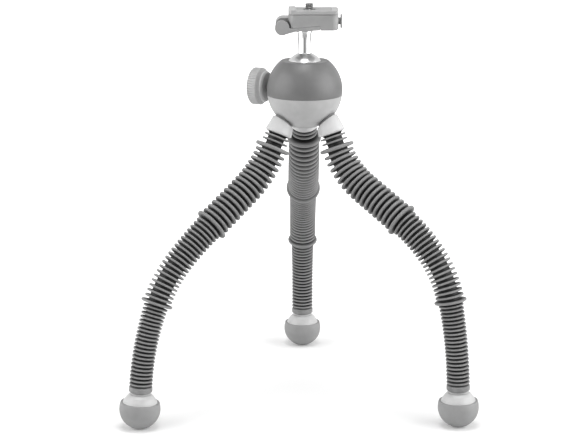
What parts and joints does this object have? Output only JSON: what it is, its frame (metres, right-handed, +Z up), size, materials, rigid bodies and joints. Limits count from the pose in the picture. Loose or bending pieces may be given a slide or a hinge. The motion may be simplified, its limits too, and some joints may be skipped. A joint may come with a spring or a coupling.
{
  "type": "flexible leg tripod",
  "caption": "Table tripod with bendable ribbed legs on ball feet, a lockable ball head and a quick-release plate that carries a camera screw.",
  "frame": {"origin": "on the floor, in the middle of the box round the whole tripod", "axes": "+Z up along the stem; +X to the right, along the clamp and the plate; +Y to the back, towards the back leg"},
  "size_m": [0.2728, 0.2458, 0.3133],
  "materials": {
    "sleeve_rubber": "satin moulded rubber",
    "cap_plastic": "fine matt",
    "wire": "drawn",
    "ferrule_paint": "satin",
    "foot_cap_plastic": "satin",
    "foot_rubber": "matt",
    "shell_plastic": "satin",
    "bowl_plastic": "fine matt",
    "knob_plastic": "fine matt",
    "seat_plastic": "smooth",
    "polished_steel": "polished",
    "cast_metal": "as cast",
    "steel": "plated",
    "screw_steel": "plated",
    "brass": "turned",
    "clamp_paint": "satin",
    "plate_paint": "satin",
    "pad_rubber": "matt",
    "catch_plastic": "matt"
  },
  "bodies": {
    "head": {"lower_bowl": "bowl_plastic", "upper_shell": "shell_plastic", "hub": "cast_metal", "housing_screws": "steel", "knob_bush": "brass", "left_leg_cap": "cap_plastic", "left_leg_root": "sleeve_rubber", "left_leg_wire": "wire", "right_leg_cap": "cap_plastic", "right_leg_root": "sleeve_rubber", "right_leg_wire": "wire", "back_leg_cap": "cap_plastic", "back_leg_root": "sleeve_rubber", "back_leg_wire": "wire"},
    "lock_knob": {"lock_knob": "knob_plastic", "lock_screw": "steel"},
    "brake_shoe": {"brake_shoe": "seat_plastic"},
    "ball_seat": {"ball_seat": "seat_plastic"},
    "ball_stem": {"ball_stem": "polished_steel"},
    "clamp": {"clamp_body": "clamp_paint", "clamp_bolt": "steel", "lever_pin": "steel", "catch_spring": "steel"},
    "clamp_lever": {"clamp_lever": "clamp_paint"},
    "clamp_jaw": {"clamp_jaw": "clamp_paint"},
    "catch_button": {"catch_button": "catch_plastic"},
    "plate": {"quick_release_plate": "plate_paint", "plate_pad": "pad_rubber"},
    "camera_screw": {"camera_screw": "screw_steel", "screw_keeper": "pad_rubber"},
    "left_leg_hip": {"left_leg_hip": "sleeve_rubber"},
    "left_leg_upper": {"left_leg_upper": "sleeve_rubber"},
    "left_leg_knee": {"left_leg_knee": "sleeve_rubber"},
    "left_leg_middle": {"left_leg_middle": "sleeve_rubber"},
    "left_leg_ankle": {"left_leg_ankle": "sleeve_rubber"},
    "left_leg_lower": {"left_leg_lower": "sleeve_rubber"},
    "left_leg_end": {"left_leg_end": "sleeve_rubber", "left_leg_ferrule": "ferrule_paint", "left_foot_cap": "foot_cap_plastic", "left_foot_pad": "foot_rubber"},
    "right_leg_hip": {"right_leg_hip": "sleeve_rubber"},
    "right_leg_upper": {"right_leg_upper": "sleeve_rubber"},
    "right_leg_knee": {"right_leg_knee": "sleeve_rubber"},
    "right_leg_middle": {"right_leg_middle": "sleeve_rubber"},
    "right_leg_ankle": {"right_leg_ankle": "sleeve_rubber"},
    "right_leg_lower": {"right_leg_lower": "sleeve_rubber"},
    "right_leg_end": {"right_leg_end": "sleeve_rubber", "right_leg_ferrule": "ferrule_paint", "right_foot_cap": "foot_cap_plastic", "right_foot_pad": "foot_rubber"},
    "back_leg_hip": {"back_leg_hip": "sleeve_rubber"},
    "back_leg_upper": {"back_leg_upper": "sleeve_rubber"},
    "back_leg_knee": {"back_leg_knee": "sleeve_rubber"},
    "back_leg_middle": {"back_leg_middle": "sleeve_rubber"},
    "back_leg_ankle": {"back_leg_ankle": "sleeve_rubber"},
    "back_leg_lower": {"back_leg_lower": "sleeve_rubber"},
    "back_leg_end": {"back_leg_end": "sleeve_rubber", "back_leg_ferrule": "ferrule_paint", "back_foot_cap": "foot_cap_plastic", "back_foot_pad": "foot_rubber"}
  },
  "joints": [
    {"name": "left_sway", "type": "hinge", "parent": "head", "child": "left_leg_hip", "pos_m": [-0.01941, -0.0471, 0.20725], "axis": [-0.7754, -0.4604, 0.4321], "range_deg": [-15.6, 15.6], "deforming": ["left_leg_wire"]},
    {"name": "left_lift", "type": "hinge", "parent": "left_leg_hip", "child": "left_leg_upper", "pos_m": [-0.02535, -0.05063, 0.19456], "axis": [-0.5105, 0.8599, 0], "range_deg": [-13.4, 7.6], "deforming": ["left_leg_wire"]},
    {"name": "left_upper_bend", "type": "hinge", "parent": "left_leg_upper", "child": "left_leg_knee", "pos_m": [-0.04369, -0.06152, 0.17176], "axis": [-0.5105, 0.8599, 0], "range_deg": [-10.5, 10], "deforming": ["left_leg_wire"]},
    {"name": "left_knee", "type": "hinge", "parent": "left_leg_knee", "child": "left_leg_middle", "pos_m": [-0.06794, -0.07592, 0.1494], "axis": [-0.5105, 0.8599, 0], "range_deg": [-8.8, 10.7], "deforming": ["left_leg_wire"]},
    {"name": "left_middle_bend", "type": "hinge", "parent": "left_leg_middle", "child": "left_leg_ankle", "pos_m": [-0.0889, -0.08836, 0.12752], "axis": [-0.5105, 0.8599, 0], "range_deg": [-9.8, 11.6], "deforming": ["left_leg_wire"]},
    {"name": "left_ankle", "type": "hinge", "parent": "left_leg_ankle", "child": "left_leg_lower", "pos_m": [-0.10764, -0.09949, 0.09398], "axis": [-0.5105, 0.8599, 0], "range_deg": [-7.7, 9.5], "deforming": ["left_leg_wire"]},
    {"name": "left_lower_bend", "type": "hinge", "parent": "left_leg_lower", "child": "left_leg_end", "pos_m": [-0.11536, -0.10408, 0.06562], "axis": [-0.5105, 0.8599, 0], "range_deg": [-8.9, 10.6], "deforming": ["left_leg_wire"]},
    {"name": "right_sway", "type": "hinge", "parent": "head", "child": "right_leg_hip", "pos_m": [0.02785, -0.04727, 0.20733], "axis": [0.7956, -0.4761, 0.3746], "range_deg": [-15.6, 15.6], "deforming": ["right_leg_wire"]},
    {"name": "right_lift", "type": "hinge", "parent": "right_leg_hip", "child": "right_leg_upper", "pos_m": [0.03333, -0.05055, 0.19438], "axis": [-0.5135, -0.8581, 0], "range_deg": [-14.6, 6.3], "deforming": ["right_leg_wire"]},
    {"name": "right_upper_bend", "type": "hinge", "parent": "right_leg_upper", "child": "right_leg_knee", "pos_m": [0.05281, -0.06221, 0.17316], "axis": [-0.5135, -0.8581, 0], "range_deg": [-10.1, 10.4], "deforming": ["right_leg_wire"]},
    {"name": "right_knee", "type": "hinge", "parent": "right_leg_knee", "child": "right_leg_middle", "pos_m": [0.07864, -0.07767, 0.15344], "axis": [-0.5135, -0.8581, 0], "range_deg": [-7.8, 11.7], "deforming": ["right_leg_wire"]},
    {"name": "right_middle_bend", "type": "hinge", "parent": "right_leg_middle", "child": "right_leg_ankle", "pos_m": [0.09929, -0.09003, 0.13134], "axis": [-0.5135, -0.8581, 0], "range_deg": [-9, 12.5], "deforming": ["right_leg_wire"]},
    {"name": "right_ankle", "type": "hinge", "parent": "right_leg_ankle", "child": "right_leg_lower", "pos_m": [0.11395, -0.0988, 0.09534], "axis": [-0.5135, -0.8581, 0], "range_deg": [-8.1, 9.1], "deforming": ["right_leg_wire"]},
    {"name": "right_lower_bend", "type": "hinge", "parent": "right_leg_lower", "child": "right_leg_end", "pos_m": [0.11811, -0.10129, 0.06597], "axis": [-0.5135, -0.8581, 0], "range_deg": [-9.3, 10.2], "deforming": ["right_leg_wire"]},
    {"name": "back_sway", "type": "hinge", "parent": "head", "child": "back_leg_hip", "pos_m": [0.00398, -0.00567, 0.20725], "axis": [-0.0063, 0.9033, 0.4289], "range_deg": [-15.6, 15.6], "deforming": ["back_leg_wire"]},
    {"name": "back_lift", "type": "hinge", "parent": "back_leg_hip", "child": "back_leg_upper", "pos_m": [0.00393, 0.00125, 0.19458], "axis": [1, 0.007, 0], "range_deg": [-13.6, 7.3], "deforming": ["back_leg_wire"]},
    {"name": "back_upper_bend", "type": "hinge", "parent": "back_leg_upper", "child": "back_leg_knee", "pos_m": [0.00378, 0.02305, 0.17226], "axis": [1, 0.007, 0], "range_deg": [-10.3, 10.1], "deforming": ["back_leg_wire"]},
    {"name": "back_knee", "type": "hinge", "parent": "back_leg_knee", "child": "back_leg_middle", "pos_m": [0.00358, 0.05176, 0.15055], "axis": [1, 0.007, 0], "range_deg": [-8.7, 10.8], "deforming": ["back_leg_wire"]},
    {"name": "back_middle_bend", "type": "hinge", "parent": "back_leg_middle", "child": "back_leg_ankle", "pos_m": [0.00341, 0.07621, 0.12876], "axis": [1, 0.007, 0], "range_deg": [-9.7, 11.7], "deforming": ["back_leg_wire"]},
    {"name": "back_ankle", "type": "hinge", "parent": "back_leg_ankle", "child": "back_leg_lower", "pos_m": [0.00326, 0.09707, 0.09471], "axis": [1, 0.007, 0], "range_deg": [-7.6, 9.6], "deforming": ["back_leg_wire"]},
    {"name": "back_lower_bend", "type": "hinge", "parent": "back_leg_lower", "child": "back_leg_end", "pos_m": [0.00321, 0.10454, 0.06592], "axis": [1, 0.007, 0], "range_deg": [-8.8, 10.6], "deforming": ["back_leg_wire"]},
    {"name": "ball_pan", "type": "hinge", "parent": "head", "child": "ball_seat", "pos_m": [0.00417, -0.0331, 0.26119], "axis": [0, 0, 1], "range_deg": [-180, 180]},
    {"name": "ball_tilt", "type": "hinge", "parent": "ball_seat", "child": "ball_stem", "pos_m": [0.00417, -0.0331, 0.26119], "axis": [-0.9063, 0.4226, 0], "range_deg": [-28, 28]},
    {"name": "ball_spin", "type": "hinge", "parent": "ball_stem", "child": "clamp", "pos_m": [0.00417, -0.0331, 0.29429], "axis": [0, 0, 1], "range_deg": [-90, 90]},
    {"name": "knob_turn", "type": "hinge", "parent": "head", "child": "lock_knob", "pos_m": [-0.03559, -0.01622, 0.24749], "axis": [-0.9205, 0.3907, 0], "range_deg": [0, 360]},
    {"name": "shoe_slide", "type": "slide", "parent": "head", "child": "brake_shoe", "axis": [-0.9205, 0.3907, 0], "range_m": [0, 0.001]},
    {"name": "lever_turn", "type": "hinge", "parent": "clamp", "child": "clamp_lever", "pos_m": [-0.01293, -0.0471, 0.29689], "axis": [0, 1, 0], "range_deg": [0, 35]},
    {"name": "jaw_slide", "type": "slide", "parent": "clamp", "child": "clamp_jaw", "axis": [0, 1, 0], "range_m": [0, 0.0007]},
    {"name": "catch_press", "type": "slide", "parent": "clamp", "child": "catch_button", "axis": [-1, 0, 0], "range_m": [0, 0.0015], "stiffness_N_per_m": 300, "springref_m": -0.002, "deforming": ["catch_spring"]},
    {"name": "plate_slide", "type": "slide", "parent": "clamp", "child": "plate", "axis": [-1, 0, 0], "range_m": [0, 0.038]},
    {"name": "camera_screw_turn", "type": "hinge", "parent": "plate", "child": "camera_screw", "pos_m": [0.00757, -0.0331, 0.30894], "axis": [0, 0, 1], "continuous": true}
  ],
  "couplings": [
    {"joint": "shoe_slide", "follows": "knob_turn", "m_per_rad": 0.00015915},
    {"joint": "jaw_slide", "follows": "lever_turn", "m_per_rad": 0.001145}
  ]
}
